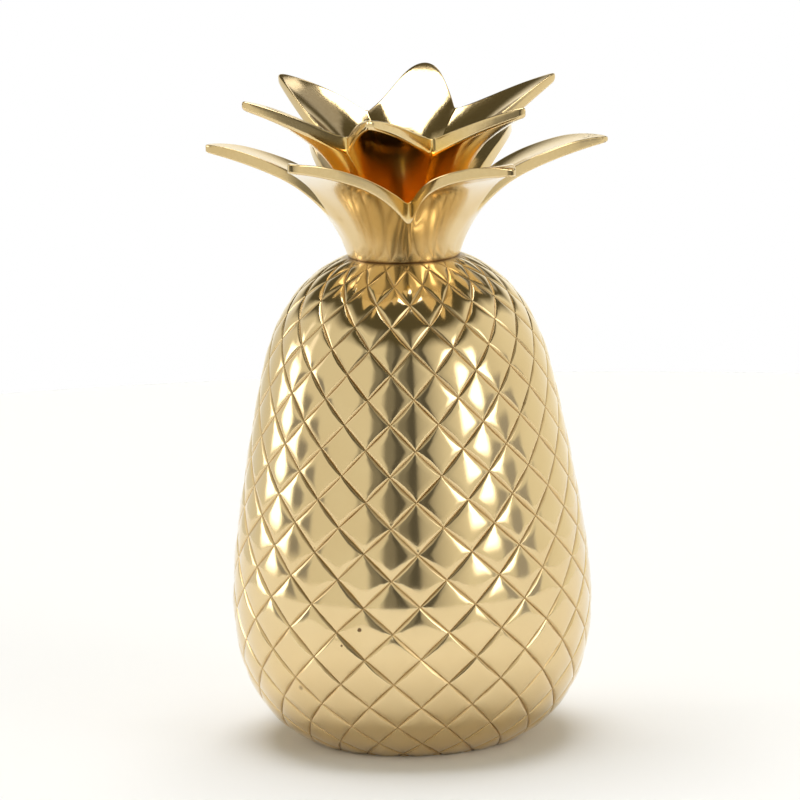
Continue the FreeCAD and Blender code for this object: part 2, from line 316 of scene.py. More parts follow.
def get_attribute(piece, name):
    values = np.empty(len(piece.data.vertices), np.float32)
    piece.data.attributes[name].data.foreach_get("value", values)
    return values


def dress(piece, material, slot, *nodes):
    """Gives a finished piece its material and its place in the assembly, and hides the CAD nodes it replaces.
    """
    piece.data.materials.clear()
    piece.data.materials.append(material)
    if nodes:
        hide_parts(*nodes)
    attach(piece, ROOT)


def dress_node(name, material):
    """A better material on a CAD node that stays."""
    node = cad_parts[name]
    for slot in node.material_slots:
        slot.material = material
    if not node.material_slots:
        node.data.materials.append(material)


# The body's outline


def spline_through(points, steps):
    """Points of a natural cubic curve through the given points, and the length up to each."""
    points = np.array(points)
    knots = np.concatenate([[0], np.cumsum(np.hypot(*np.diff(points, axis=0).T))])
    h = np.diff(knots)
    count = len(points)
    matrix = np.eye(count)
    right = np.zeros((count, 2))
    for i in range(1, count - 1):
        matrix[i, i - 1:i + 2] = h[i - 1] / 6, (h[i - 1] + h[i]) / 3, h[i] / 6
        right[i] = (points[i + 1] - points[i]) / h[i] - (points[i] - points[i - 1]) / h[i - 1]
    bends = np.linalg.solve(matrix, right)
    at = np.linspace(0, knots[-1], steps)
    i = np.clip(np.searchsorted(knots, at, side="right") - 1, 0, count - 2)
    a = ((knots[i + 1] - at) / h[i])[:, None]
    b = 1 - a
    curve = a * points[i] + b * points[i + 1]
    curve += ((a ** 3 - a) * bends[i] + (b ** 3 - b) * bends[i + 1]) * (h[i] ** 2)[:, None] / 6
    lengths = np.concatenate([[0], np.cumsum(np.hypot(*np.diff(curve, axis=0).T))])
    return curve, lengths


class Outline:
    """The body's outline by the length along it."""

    def __init__(self):
        points = [(BELOW_FOOT_SHARES[1] * FOOT_RADIUS, BELOW_FOOT_SHARES[0] * BODY_HEIGHT), (FOOT_RADIUS, 0)]
        points += [(r * BELLY_RADIUS, h * BODY_HEIGHT) for h, r in OUTLINE_SHARES]
        points += [(SEAT_RADIUS, BODY_HEIGHT)]
        points += [(ABOVE_SEAT_SHARES[1] * SEAT_RADIUS, ABOVE_SEAT_SHARES[0] * BODY_HEIGHT)]
        self.curve, self.lengths = spline_through(points, OUTLINE_STEPS)
        slopes = np.gradient(self.curve, self.lengths, axis=0)
        self.slopes = slopes / np.hypot(*slopes.T)[:, None]

    def length_at(self, height):
        return float(np.interp(height, self.curve[:, 1], self.lengths))

    def at(self, length):
        """Radius, height and the two parts of the unit tangent."""
        place = [np.interp(length, self.lengths, self.curve[:, i]) for i in (0, 1)]
        return place + [np.interp(length, self.lengths, self.slopes[:, i]) for i in (0, 1)]


# Body


def crossing(level, column):
    """Key of a crossing of the cuts in the arrays of small differences."""
    return level % LATTICE[0], column % LATTICE[1]


class Skin:
    """The cut skin: the surface between two families of slanting cuts."""

    def __init__(self, shape):
        self.shape = shape
        self.outline = Outline()
        first = self.outline.length_at(0) + FIRST_LEVEL
        lengths = [first - FOOT_PITCH * (LEVELS_BELOW - i) for i in range(LEVELS_BELOW)]
        pitch = FOOT_PITCH
        while len(lengths) < CELL_ROWS + 3:
            lengths.append(first)
            first += pitch
            pitch -= PITCH_LOSS
        self.lengths = np.array(lengths)
        self.seat_level = float(np.interp(
            self.outline.length_at(BODY_HEIGHT), self.lengths, np.arange(len(self.lengths))))
        width, scale = self.sizes_at(np.array([BELLY_LEVEL]))
        near = self.stations(0.8 * shape.cut_width / MM / 2 * scale, width, scale)[:, 0]
        self.nominal = np.concatenate([near, 1 - near[-2::-1]])
        chance = np.random.default_rng(shape.seed)
        self.level_shift = chance.normal(0, shape.waver, LATTICE)
        self.column_shift = chance.normal(0, shape.waver, LATTICE)
        self.deep = [chance.uniform(*DEPTH_SPREAD, LATTICE) for _ in range(2)]
        self.wide = [chance.uniform(*WIDTH_SPREAD, LATTICE) for _ in range(2)]

    def place(self, level, column):
        """Point on the smooth surface, its outward normal and its radius."""
        length = np.interp(level, np.arange(len(self.lengths)), self.lengths)
        radius, height, slope_out, slope_up = self.outline.at(length)
        angle = np.radians(CUT_PHASE) + column * pi / CUTS_PER_FAMILY
        out = np.stack([np.cos(angle), np.sin(angle)], -1)
        point = np.concatenate([out * radius[..., None], height[..., None]], -1)
        normal = np.concatenate([out * slope_up[..., None], -slope_out[..., None]], -1)
        return point, normal, radius

    def cut_profile(self, distance, half_width, depth):
        """How deep the skin lies at a distance from the middle line of a cut."""
        share = distance / np.maximum(half_width, 1e-6)
        ease = np.clip((share - 1 + LIP) / (2 * LIP), 0, 1)
        return depth * np.where(share > 1 - LIP, 0.5 * LIP * (1 - ease) ** 2, 1 - share)

    def sizes_at(self, level):
        """Distance between neighbouring cuts, and the scale of the cuts, at a level of the lattice."""
        radius = self.place(level, 0 * level)[2]
        rise = np.interp(level, np.arange(len(self.lengths)), np.gradient(self.lengths))
        run = radius * pi / CUTS_PER_FAMILY
        return 2 * rise * run / np.hypot(rise, run), (radius / BELLY_RADIUS) ** CUT_SHRINK

    def stations(self, half_width, width, scale):
        """Places of the mesh lines from the middle of a cut to the middle of the cell, as shares."""
        roll = self.shape.roll_width / MM * scale
        lines = [share * half_width for share in LINES_IN_CUT]
        lines += [half_width + share * roll for share in LINES_BESIDE_CUT]
        places = [np.minimum(line / width, LINE_STEP_SHARE * n) for n, line in enumerate(lines)]
        return np.stack(places + [0 * half_width + 0.5])

    def side(self, family, key, along, scale, depth):
        """Half width and depth of the cut along a cell's side, alike in the two cells that share it.

        Cuts narrow where they cross.
        """
        shape = self.shape
        narrow = (shape.crossing_left, shape.crossing_right)[family]
        swell = narrow + (1 - narrow) * np.sin(pi * np.clip(along, 0, 1)) ** CUT_SWELL
        swell = swell * (shape.right_share if family else 1.0)
        middle = np.sqrt(np.sin(pi * np.clip(along, 0, 1)))
        wide = 1 + (self.wide[family][key] - 1) * middle
        deep = 1 + (self.deep[family][key] - 1) * middle
        return shape.cut_width / MM / 2 * scale * wide * swell, depth * deep * swell

    def cell(self, i, j):
        """Points of the cell between two cuts of each family, as a small grid, and how dark each is."""
        shape = self.shape
        # u runs from cut to cut of the first family, v of the second
        u, v = np.meshgrid(self.nominal, self.nominal, indexing="ij")
        level = i + u + v
        width, scale = self.sizes_at(level)
        fade = np.clip(0.5 + 0.5 * (self.seat_level - level) / NECK_FADE_LEVELS, 0.5, 1)
        depth = shape.cut_depth / MM * scale * fade
        m = i - 1 - 2 * j
        sides = [
            self.side(family, crossing(k, n), along, scale, depth) for family, k, n, along in
            ((0, i, m, v), (0, i + 1, m + 1, v), (1, i, m, u), (1, i + 1, m - 1, u))
        ]
        near_u, far_u, near_v, far_v = (self.stations(wide, width, scale) for wide, _ in sides)
        last = len(self.nominal) - 1
        steps = np.arange(last + 1)
        rank = np.minimum(steps, last - steps)
        rows, columns = np.meshgrid(steps, steps, indexing="ij")

        def mesh_lines(near, far, step):
            from_near, from_far = (lines[rank[step], rows, columns] for lines in (near, far))
            return np.where(step <= last // 2, from_near, 1 - from_far)

        u = mesh_lines(near_u, far_u, rows)
        v = mesh_lines(near_v, far_v, columns)
        sink, dark, rolls = np.zeros((3,) + u.shape)
        for (half_width, cut_depth), distance in zip(sides, (u, 1 - u, v, 1 - v)):
            cut = self.cut_profile(distance * width, half_width, cut_depth)
            sink = np.maximum(sink, cut)
            dark = np.maximum(dark, cut / cut_depth)
            beside = np.clip(distance * width - half_width, 0, None) / (shape.roll_width / MM * scale)
            rolls = rolls + np.exp(-beside ** ROLL_POWER)
        # The crossings stray a little from the lattice
        corners = ((i, m), (i + 1, m + 1), (i + 1, m - 1), (i + 2, m))
        weights = ((1 - u) * (1 - v), u * (1 - v), (1 - u) * v, u * v)
        level = i + u + v
        column = m + u - v
        for corner, weight in zip(corners, weights):
            level = level + weight * self.level_shift[crossing(*corner)]
            column = column + weight * self.column_shift[crossing(*corner)]
        point, normal, _ = self.place(level, column)
        dome = shape.cell_dome / MM * scale * 16 * u * (1 - u) * v * (1 - v)
        rise = dome - sink - shape.edge_roll / MM * scale * np.minimum(rolls, MOST_ROLL)
        # The relief dies away just before the seat, which is a plain ring
        relief = np.clip((self.seat_level - level) / SEAT_FADE, 0, 1)[..., None]
        return point + normal * rise[..., None] * relief, dark

    def strip(self, j):
        """One strip of cells from below the foot to above the seat, as rows of points."""
        rows, marks = [], []
        for i in range(CELL_ROWS):
            co, dark = self.cell(i, j)
            start = 0 if i == 0 else 1
            rows.append(co[start:])
            marks.append(dark[start:])
        return np.concatenate(rows), np.concatenate(marks)


def lining_outline(outline):
    """Outline of the hollow, from the foot up under the skin to the screw's hole."""
    foot_top = FOOT_HOLLOW[-1][1]
    ceiling = BODY_HEIGHT - TOP_THICKNESS
    hollow = []
    for length in np.linspace(outline.length_at(foot_top), outline.length_at(ceiling), HOLLOW_STATIONS):
        radius, height, slope_out, slope_up = outline.at(length)
        hollow.append((radius - WALL * slope_up, height + WALL * slope_out))
    hollow = [p for p in hollow if foot_top < p[1] < ceiling]
    inner = list(FOOT_HOLLOW) + [(hollow[0][0], foot_top)] + hollow
    return inner + [(hollow[-1][0], ceiling), (SCREW_HOLE, ceiling), (SCREW_HOLE, BODY_HEIGHT)]


def make_body(shape):
    """The skin in strips, cut level at both ends, and the lining of its hollow, bridged to it."""
    skin = Skin(shape)
    strips = []
    for j in range(CUTS_PER_FAMILY):
        co, dark = skin.strip(j)
        piece, row, column = new_sheet(co.shape[0], co.shape[1])
        set_vertices(piece, co[row, column] * MM)
        set_attribute(piece, "patina", dark[row, column])
        strips.append(piece)
    pick(*strips)
    bpy.ops.object.join()
    body = settle(bpy.context.object, "pineapple_body")
    merge_doubles(body, STRIP_REACH)
    bpy.ops.object.mode_set(mode="EDIT")
    for height, side in ((0, {"clear_inner": True}), (BODY_HEIGHT * MM, {"clear_outer": True})):
        bpy.ops.mesh.select_all(action="SELECT")
        bpy.ops.mesh.bisect(plane_co=(0, 0, height), plane_no=(0, 0, 1), threshold=BISECT_REACH, **side)
    bpy.ops.object.mode_set(mode="OBJECT")
    lining = turned(lining_outline(skin.outline), RING_STEPS, "lining")
    pick(body, lining)
    bpy.ops.object.join()
    body = bpy.context.object
    for height in (0, BODY_HEIGHT * MM):
        bridge_open_edges(body, lambda co: abs(co[:, 2] - height) < RIM_REACH)
    merge_doubles(body, LINING_REACH)
    finish_mesh(body, 34)
    height = vertex_array(body)[:, 2] / MM
    seam = np.clip((height - BODY_HEIGHT + 0.5) / SEAM_HEIGHT, 0, 1)
    set_attribute(body, "patina", np.maximum(get_attribute(body, "patina"), seam))
    return body


# Leaf crowns


class LeafPath:
    """Middle line of a leaf's outer face: straight neck, flare, then a slight curl."""

    def __init__(self, radius, height, rise, neck_angle, flare_radius, flare_angle, curl_radius, reach):
        self.radius = radius
        self.height = height
        self.neck_slope = radians(neck_angle)
        self.neck_length = rise / cos(self.neck_slope)
        self.flare_radius = flare_radius
        self.flare_slope = radians(flare_angle)
        self.flare_length = flare_radius * (self.flare_slope - self.neck_slope)
        self.curl_radius = curl_radius
        self.length = self.neck_length + self.flare_length
        left = reach - float(self.at(np.array(self.length))[0])
        self.length += curl_radius * (self.flare_slope - acos(cos(self.flare_slope) + left / curl_radius))

    def at(self, length):
        """Radius, height and slope from the vertical at a length from the base."""
        neck = np.minimum(length, self.neck_length)
        r = self.radius + neck * sin(self.neck_slope)
        z = self.height + neck * cos(self.neck_slope)
        flare = np.clip(length - self.neck_length, 0, self.flare_length)
        slope = self.neck_slope
        turn = slope + flare / self.flare_radius
        r = r + self.flare_radius * (cos(slope) - np.cos(turn))
        z = z + self.flare_radius * (np.sin(turn) - sin(slope))
        curl = np.maximum(length - self.neck_length - self.flare_length, 0)
        back = turn - curl / self.curl_radius
        r = r + self.curl_radius * (np.cos(back) - np.cos(turn))
        z = z + self.curl_radius * (np.sin(turn) - np.sin(back))
        return r, z, back


@dataclass
class Crown:
    """A cup with six leaves, as one closed grid of rows and columns. Lengths are in millimetres.

    The leaves and notches aren't all alike, as in a hand-finished casting: reaches are shares of
    the reach by leaf, points turn a leaf's point sideways in degrees, bends lift it, flats lower
    its sides by the square of the distance aside and tips are the shares of its outline that are
    rounded. Notch steps and turns move single notches outwards and round the axis.
    """

    path: LeafPath
    base_height: float
    first_angle: float
    walls: tuple
    hollow: float
    tip_thinning: float
    outline_radius: float
    reach: float
    reaches: tuple
    points: tuple
    bends: tuple
    flats: tuple
    tips: tuple
    notch_radius: float
    notch_steps: tuple
    notch_turns: tuple
    notch_dip: float
    fillet: float

    def surface(self, length, y, inner):
        """Distance out and height on a leaf's outer or inner face, y millimetres aside."""
        r, z, slope = self.path.at(length)
        hollow = 1 / (np.cos(slope) / r + 1 / self.hollow)
        share = (length + WALL_OVERRUN) / (self.path.length + 2 * WALL_OVERRUN)
        wall = self.walls[0] + (self.walls[1] - self.walls[0]) * share
        near_tip = np.clip(1 - (self.path.length - length) / THINNED_LENGTH, 0, 1)
        wall = wall - self.tip_thinning * near_tip ** 2
        ring = hollow - wall * inner
        q = hollow - np.sqrt(np.maximum(ring ** 2 - y ** 2, 0))
        return r - np.cos(slope) * q, z + np.sin(slope) * q

    def along(self, angle, length, inner):
        """Point of a face at a plan angle from the leaf's middle and a length along its path."""
        y = np.zeros_like(length + angle)
        for _ in range(30):
            x, _ = self.surface(length, y, inner)
            y = np.tan(angle) * x
        x, z = self.surface(length, y, inner)
        return np.stack([x, y, z], -1)

    def length_where(self, angle, inner, test):
        """Length at which a rising measure of the point reaches zero, by halving."""
        low = np.full_like(angle, -SEARCH_OVERRUN)
        high = np.full_like(angle, self.path.length + SEARCH_OVERRUN)
        for _ in range(SEARCH_STEPS):
            middle = (low + high) / 2
            below = test(self.along(angle, middle, inner)) < 0
            low = np.where(below, middle, low)
            high = np.where(below, high, middle)
        return (low + high) / 2

    def arc(self, leaf, side, share):
        """Point of the bowed side of a leaf, at a share of the way from the notch to the tip."""
        depth = self.notch_radius + self.notch_steps[leaf if side > 0 else leaf - 1]
        notch = np.array([depth * cos(HALF_LEAF), side * depth * sin(HALF_LEAF)])
        tip = self.tip(leaf)
        chord = tip - notch
        length = float(np.hypot(*chord))
        across = np.array([-chord[1], chord[0]]) / length * side
        lift = sqrt(self.outline_radius ** 2 - (length / 2) ** 2)
        centre = (notch + tip) / 2 - across * lift
        start = atan2(*(notch - centre)[::-1])
        end = atan2(*(tip - centre)[::-1])
        sweep = (end - start + pi) % (2 * pi) - pi
        angle = start + sweep * np.asarray(share, float)
        return centre + self.outline_radius * np.stack([np.cos(angle), np.sin(angle)], -1)

    def tip(self, leaf):
        turn = radians(self.points[leaf])
        return self.reach * self.reaches[leaf] * np.array([cos(turn), sin(turn)])

    def rim_plan(self, leaf, w):
        """Plan points of the leaf's rim: bowed sides with a rounded point and rounded notches."""
        share = 1 - np.abs(w)
        out = np.where((w < 0)[:, None], self.arc(leaf, -1, share), self.arc(leaf, 1, share))
        part = self.tips[leaf]
        near = np.abs(w) < part
        t = (w[near] / part + 1)[:, None] / 2
        out[near] = rounded(self.arc(leaf, -1, 1 - part), self.tip(leaf), self.arc(leaf, 1, 1 - part), t)
        for side in (-1, 1):
            near = side * w > 1 - NOTCH_PART
            t = ((np.abs(w[near]) - 1 + NOTCH_PART) / NOTCH_PART)[:, None] / 2
            start = self.arc(leaf, side, NOTCH_PART)
            aside = np.array([-sin(HALF_LEAF), side * cos(HALF_LEAF)])
            mirrored = start - 2 * (start @ aside) * aside
            out[near] = rounded(start, self.arc(leaf, side, 0), mirrored, t)
            # Both leaves of a notch meet half way between their own roundings
            outwards = np.array([cos(HALF_LEAF), side * sin(HALF_LEAF)])
            step = self.notch_middle((leaf + side) % LEAVES, -side) - self.notch_middle(leaf, side)
            out[near] += step / 2 * (2 * t) ** 2 * outwards
        return out

    def notch_middle(self, leaf, side):
        """Distance from the axis of the middle of a notch, as this leaf alone would round it."""
        outwards = np.array([cos(HALF_LEAF), side * sin(HALF_LEAF)])
        return (self.arc(leaf, side, NOTCH_PART) + self.arc(leaf, side, 0)) @ outwards / 2

    def leaf_grid(self, leaf, w, inner_start):
        """Rows of points from the base up the outer face, over the rim and down inside."""
        base_angle = HALF_LEAF * w
        rim = self.rim_plan(leaf, w)
        rim_angle, rim_radius = plan_angle(rim), from_axis(rim)

        def past_rim(point):
            return from_axis(point) - rim_radius

        outer_low = self.length_where(base_angle, 0, lambda p: p[..., 2] - self.base_height)
        outer_high = self.length_where(rim_angle, 0, past_rim)
        inner_high = self.length_where(rim_angle, 1, past_rim)
        inner_low = self.length_where(base_angle, 1, inner_start)
        outer_edge = self.along(rim_angle, outer_high, 0)
        inner_edge = self.along(rim_angle, inner_high, 1)

        def face(low, high, inner):
            """Rows from the base to where the edge starts to round over."""
            points = []
            for share in np.linspace(0, 1, LEAF_ROWS):
                share = share * (1 - self.fillet / (high - low))
                turn = share ** TURN_POWER
                angle = base_angle * (1 - turn) + rim_angle * turn
                points.append(self.along(angle, low + (high - low) * share, inner))
            return points

        outer = face(outer_low, outer_high, 0)
        inner = face(inner_low, inner_high, 1)[::-1]
        lift = inner_edge - outer_edge
        step = np.minimum(self.fillet / np.maximum(lift[:, 2:3], 0.01), MOST_EDGE_SHARE)
        low_band = outer_edge + lift * step
        high_band = inner_edge - lift * step
        middle = [rounded(outer[-1], outer_edge, low_band, t) for t in ROUNDING_SHARES]
        middle += [low_band + (high_band - low_band) * t for t in EDGE_SHARES]
        middle += [rounded(high_band, inner_edge, inner[0], t) for t in ROUNDING_SHARES]
        marks = np.concatenate([np.zeros(LEAF_ROWS), np.linspace(0, 1, len(middle)), np.ones(LEAF_ROWS)])
        grid = np.stack(outer + middle + inner)
        # The leaf's own bend fades towards the notches
        root = BEND_ROOT_SHARE * self.notch_radius
        part = np.clip((from_axis(grid) - root) / (self.reach * self.reaches[leaf] - root), 0, 1.1)
        middle_share = np.minimum(1, 3 * np.clip(1 - np.abs(plan_angle(grid)) / HALF_LEAF, 0, 1))
        grid[..., 2] += self.bends[leaf] * part ** BEND_POWER * middle_share
        grid[..., 2] -= self.flats[leaf] * grid[..., 1] ** 2 * np.minimum(1, 2 * part) * middle_share
        turn = radians(self.first_angle + 360 * leaf / LEAVES)
        x = grid[..., 0] * cos(turn) - grid[..., 1] * sin(turn)
        y = grid[..., 0] * sin(turn) + grid[..., 1] * cos(turn)
        return np.stack([x, y, grid[..., 2]], -1), marks

    def move_notches(self, grid, marks):
        """Turns single notches about the axis and lowers the outer edge beside each."""
        angle = plan_angle(grid)
        radius = from_axis(grid)
        rise = np.clip((radius - self.path.radius) / (self.notch_radius - self.path.radius), 0, 1)
        turn = np.zeros_like(angle)
        dip = np.zeros_like(angle)
        for leaf in range(LEAVES):
            place = radians(self.first_angle) + (2 * leaf + 1) * HALF_LEAF
            aside = (angle - place + pi) % (2 * pi) - pi
            near = np.exp(-(aside / radians(NOTCH_SPREAD)) ** 2) * rise
            turn += radians(self.notch_turns[leaf]) * near
            dip += self.notch_dip * near * (1 - marks)[:, None]
        grid[..., 0] = radius * np.cos(angle + turn)
        grid[..., 1] = radius * np.sin(angle + turn)
        grid[..., 2] -= dip

    def file_neck(self, grid, marks):
        """Shallow uneven flutes on the outer face of the neck, left by filing."""
        height = grid[..., 2]
        fade = np.clip((NECK_TOP - height) / NECK_FADE, 0, 1)
        fade = fade * np.clip((height - self.base_height) / FLUTE_START, 0, 1)
        phases = np.random.default_rng(len(marks)).uniform(0, 2 * pi, len(RIPPLE_WAVES))
        angle = plan_angle(grid)
        ripple = sum(np.sin(n * angle + phase) for n, phase in zip(RIPPLE_WAVES, phases)) * RIPPLE
        grid[..., :2] *= (1 + ripple * fade * (marks == 0)[:, None] / from_axis(grid))[..., None]

    def build(self, name, floor, inner_start):
        """The whole crown. floor lists the (radius, height) rings that close it underneath."""
        w = np.linspace(-1, 1, LEAF_COLUMNS)
        w = np.sign(w) * (1 - (1 - np.abs(w)) ** COLUMN_POWER)
        grids = []
        for leaf in range(LEAVES):
            grid, marks = self.leaf_grid(leaf, w, inner_start)
            grids.append(grid if leaf == 0 else grid[:, 1:])
        grid = np.concatenate(grids, axis=1)
        self.move_notches(grid, marks)
        self.file_neck(grid, marks)
        angles = np.unwrap(plan_angle(grid[0]))
        rings = [np.stack([r * np.cos(angles), r * np.sin(angles), z + 0 * angles], -1) for r, z in floor]
        grid = np.concatenate([grid, np.stack(rings), grid[:1]])
        marks = np.concatenate([marks, np.ones(len(floor)), marks[:1]])
        piece, row, column = new_sheet(grid.shape[0], grid.shape[1])
        set_vertices(piece, grid[row, column] * MM)
        set_attribute(piece, "inside", marks[row])
        settle(piece, name)
        merge_doubles(piece, CROWN_REACH)
        finish_mesh(piece, 40)
        return piece


def mark_recess(crown, low, high, inside):
    """Marks the faces between the crowns for painted brass-on-brass light, fading from low to high radius."""
    co = vertex_array(crown) / MM
    fade = np.clip((high - from_axis(co)) / (high - low), 0, 1)
    marks = get_attribute(crown, "inside")
    set_attribute(crown, "recess", fade * (marks if inside else 1 - marks))
    set_attribute(crown, "neck", np.clip((NECK_TOP - co[:, 2]) / NECK_FADE, 0, 1) * (1 - marks))
    set_attribute(crown, "seam", np.clip((BODY_HEIGHT + SEAM_HEIGHT - co[:, 2]) / SEAM_HEIGHT, 0, 1))


def make_lower_crown(shape):
    reach = shape.lower_reach / MM
    reaches = (1.038, 0.985, 0.980, 0.974, 0.955, 1.010)
    path = LeafPath(
        radius=16.5, height=BODY_HEIGHT, rise=0, neck_angle=15.0, flare_radius=36.8, flare_angle=67.4,
        curl_radius=-60.0, reach=reach * max(reaches),
    )
    crown = Crown(
        path=path, base_height=BODY_HEIGHT, first_angle=0, walls=(2.6, 3.6), hollow=200.0, tip_thinning=2.4,
        outline_radius=66.0, reach=reach, reaches=reaches,
        points=(6.0, -4.5, -3.0, -0.5, -5.0, 2.4),
        bends=(2.2, 0.5, 0.0, 3.0, 2.9, 0.7),
        flats=(0.0,) * LEAVES,
        tips=(0.07, 0.08, 0.08, 0.07, 0.07, 0.07),
        notch_radius=24.0,
        notch_steps=(0.0, 0.0, 0.0, 0.0, -1.1, 0.0),
        notch_turns=(0.0, 0.0, 0.0, 0.0, 4.0, 0.0),
        notch_dip=1.8, fillet=0.55,
    )
    floor_ring = 10.0
    floor_top = BODY_HEIGHT + LOWER_FLOOR
    floor = [
        (floor_ring, floor_top), (SCREW_HOLE, floor_top), (SCREW_HOLE, BODY_HEIGHT),
        (floor_ring, BODY_HEIGHT),
    ]
    piece = crown.build("lower_leaf_crown", floor, lambda p: p[..., 2] - floor_top)
    mark_recess(piece, 22.0, 30.0, True)
    return piece


def make_upper_crown(shape):
    reach = shape.upper_reach / MM
    reaches = (1.025, 1.075, 1.060, 1.000, 0.980, 0.950)
    base = BODY_HEIGHT + LOWER_FLOOR
    floor_top = base + UPPER_FLOOR
    path = LeafPath(
        radius=13.71, height=base, rise=11.4, neck_angle=11.4, flare_radius=34.0, flare_angle=50.8,
        curl_radius=-81.0, reach=reach * max(reaches),
    )
    crown = Crown(
        path=path, base_height=base, first_angle=20, walls=(4.6, 2.6), hollow=68.0, tip_thinning=0.6,
        outline_radius=130.0, reach=reach, reaches=reaches,
        points=(1.5, 0.8, -4.5, -3.5, -1.0, 2.0),
        bends=(1.0, 2.75, 0.1, -0.8, -2.7, -2.0),
        flats=(0.0, 0.013, 0.0, 0.0, 0.0, 0.0),
        tips=(0.07, 0.36, 0.12, 0.08, 0.08, 0.08),
        notch_radius=23.7,
        notch_steps=(2.7, 2.0, 0.0, 0.0, -0.6, 0.0),
        notch_turns=(1.7, 2.5, 0.0, -0.9, 2.1, 0.0),
        notch_dip=-0.6, fillet=1.15,
    )
    socket = shape.socket_radius / MM
    socket_ring = 157.0
    floor_round = 0.4
    floor_ring = 9.0
    head_recess = 5.9
    floor = [
        (socket, socket_ring), (socket, floor_top + floor_round), (socket - floor_round, floor_top),
        (head_recess, floor_top), (SCREW_HOLE, floor_top - head_recess + SCREW_HOLE), (SCREW_HOLE, base),
        (floor_ring, base),
    ]
    piece = crown.build("upper_leaf_crown", floor, lambda p: from_axis(p) - socket)
    mark_recess(piece, 25.0, 33.0, False)
    return piece


# Screw and felt


def make_screw():
    """Slotted countersunk screw. Its rings are set close enough to draw the thread in them."""
    radius, head, length, chamfer = 2.95, 5.8, 25.0, 0.6
    ring_step, thread_depth, thread_pitch, thread_end = 0.125, 0.58, 1.0, 8.5
    slot_width, slot_depth, slot_reach, slot_overrun = 1.6, 1.4, 20.0, 2.0
    top = BODY_HEIGHT + 7.7
    bottom = top - length
    neck = top - head + radius
    rings = [(0, bottom), (radius - chamfer, bottom)]
    rings += [(radius, z) for z in np.arange(bottom + chamfer, neck - 1.0, ring_step)]
    rings += [(radius, neck), (head - 0.12, top - 0.12), (head, top - 0.05), (head - 0.05, top), (0, top)]
    screw = turned(rings, 48, "clamping_screw")
    co = vertex_array(screw) / MM
    turn = plan_angle(co) / (2 * pi) * thread_pitch
    wave = np.abs((co[:, 2] - turn) % thread_pitch - thread_pitch / 2) * 2 / thread_pitch
    ease = np.clip(co[:, 2] - bottom - chamfer, 0, 1) * np.clip(top - thread_end - co[:, 2], 0, 1)
    shank = (from_axis(co) > radius - 0.05) & (co[:, 2] < neck - 0.5)
    co[:, :2] *= np.where(shank, 1 - thread_depth * ease * (1 - wave) / radius, 1)[:, None]
    set_vertices(screw, co * MM)
    deselect()
    bpy.ops.mesh.primitive_cube_add(
        size=1, location=(0, 0, (top - slot_depth / 2 + slot_overrun / 2) * MM),
        scale=(slot_reach * MM, slot_width * MM, (slot_depth + slot_overrun) * MM),
    )
    cutter = settle(bpy.context.object, "slot_cutter")
    cut = screw.modifiers.new("slot", "BOOLEAN")
    cut.operation = "DIFFERENCE"
    cut.object = cutter
    cut.solver = "EXACT"
    pick(screw)
    bpy.ops.object.modifier_apply(modifier=cut.name)
    bpy.data.objects.remove(cutter)
    smooth_by_angle(screw, 32)
    return screw


def make_felt(shape):
    """A felt disc with a soft edge and a slightly uneven pile."""
    radius, thickness, lift = 26.4, 1.5, 0.03
    pile_low, pile_high, edge_loss = -0.03, 0.05, -0.12
    rings = [(0, lift)] + [(r, lift) for r in np.linspace(0.8, radius - 1.2, 30)]
    rings += [(radius - 0.5, 0.05), (radius - 0.15, 0.16), (radius, 0.5), (radius, 1.0)]
    rings += [(radius - 0.12, 1.35), (radius - 0.4, thickness)]
    rings += [(r, thickness) for r in np.linspace(radius - 2, 2, 8)] + [(0, thickness)]
    felt = turned(rings, 120, "foot_felt")
    co = vertex_array(felt) / MM
    chance = np.random.default_rng(shape.seed)
    edge = from_axis(co) > radius - 0.2
    co[:, 2] += np.where(co[:, 2] < 0.1, chance.uniform(pile_low, pile_high, len(co)), 0)
    co[:, :2] *= np.where(edge, 1 + chance.uniform(edge_loss, 0.0, len(co)) / radius, 1)[:, None]
    co[:, 2] = np.clip(co[:, 2], 0, thickness)
    set_vertices(felt, co * MM)
    finish_mesh(felt, 60)
    return felt


# Materials


def plug(tree, socket, value):
    """Links a socket to another node, or sets it. A colour may come without its alpha."""
    if isinstance(value, bpy.types.NodeSocket):
        tree.links.new(value, socket)
    elif socket.type == "RGBA" and len(value) == 3:
        socket.default_value = (*value, 1.0)
    else:
        socket.default_value = value


def add_node(tree, kind, inputs=(), **values):
    node = tree.nodes.new(kind)
    for key, value in values.items():
        setattr(node, key, value)
    for key, value in dict(inputs).items():
        plug(tree, node.inputs[key], value)
    return node


def math_node(tree, operation, first, second=0.0, clamp=False):
    return add_node(
        tree, "ShaderNodeMath", {0: first, 1: second}, operation=operation, use_clamp=clamp
    ).outputs[0]


def plus(tree, first, second):
    return math_node(tree, "ADD", first, second)


def minus(tree, first, second):
    return math_node(tree, "SUBTRACT", first, second)


def times(tree, first, second):
    return math_node(tree, "MULTIPLY", first, second)


def spread(tree, value, low, high):
    """The value stretched so that low gives 0 and high gives 1."""
    return add_node(
        tree, "ShaderNodeMapRange", {"Value": value, "From Min": low, "From Max": high}
    ).outputs[0]


def mix_color(tree, share, first, second, blend="MIX"):
    return add_node(
        tree, "ShaderNodeMix", {0: share, 6: first, 7: second}, data_type="RGBA", blend_type=blend
    ).outputs[2]


def noise(tree, place, scale, detail, roughness=0.5, distortion=0.0):
    return add_node(tree, "ShaderNodeTexNoise", {
        "Vector": place, "Scale": scale, "Detail": detail, "Roughness": roughness, "Distortion": distortion,
    }).outputs["Fac"]


def object_place(tree):
    return add_node(tree, "ShaderNodeTexCoord").outputs["Object"]


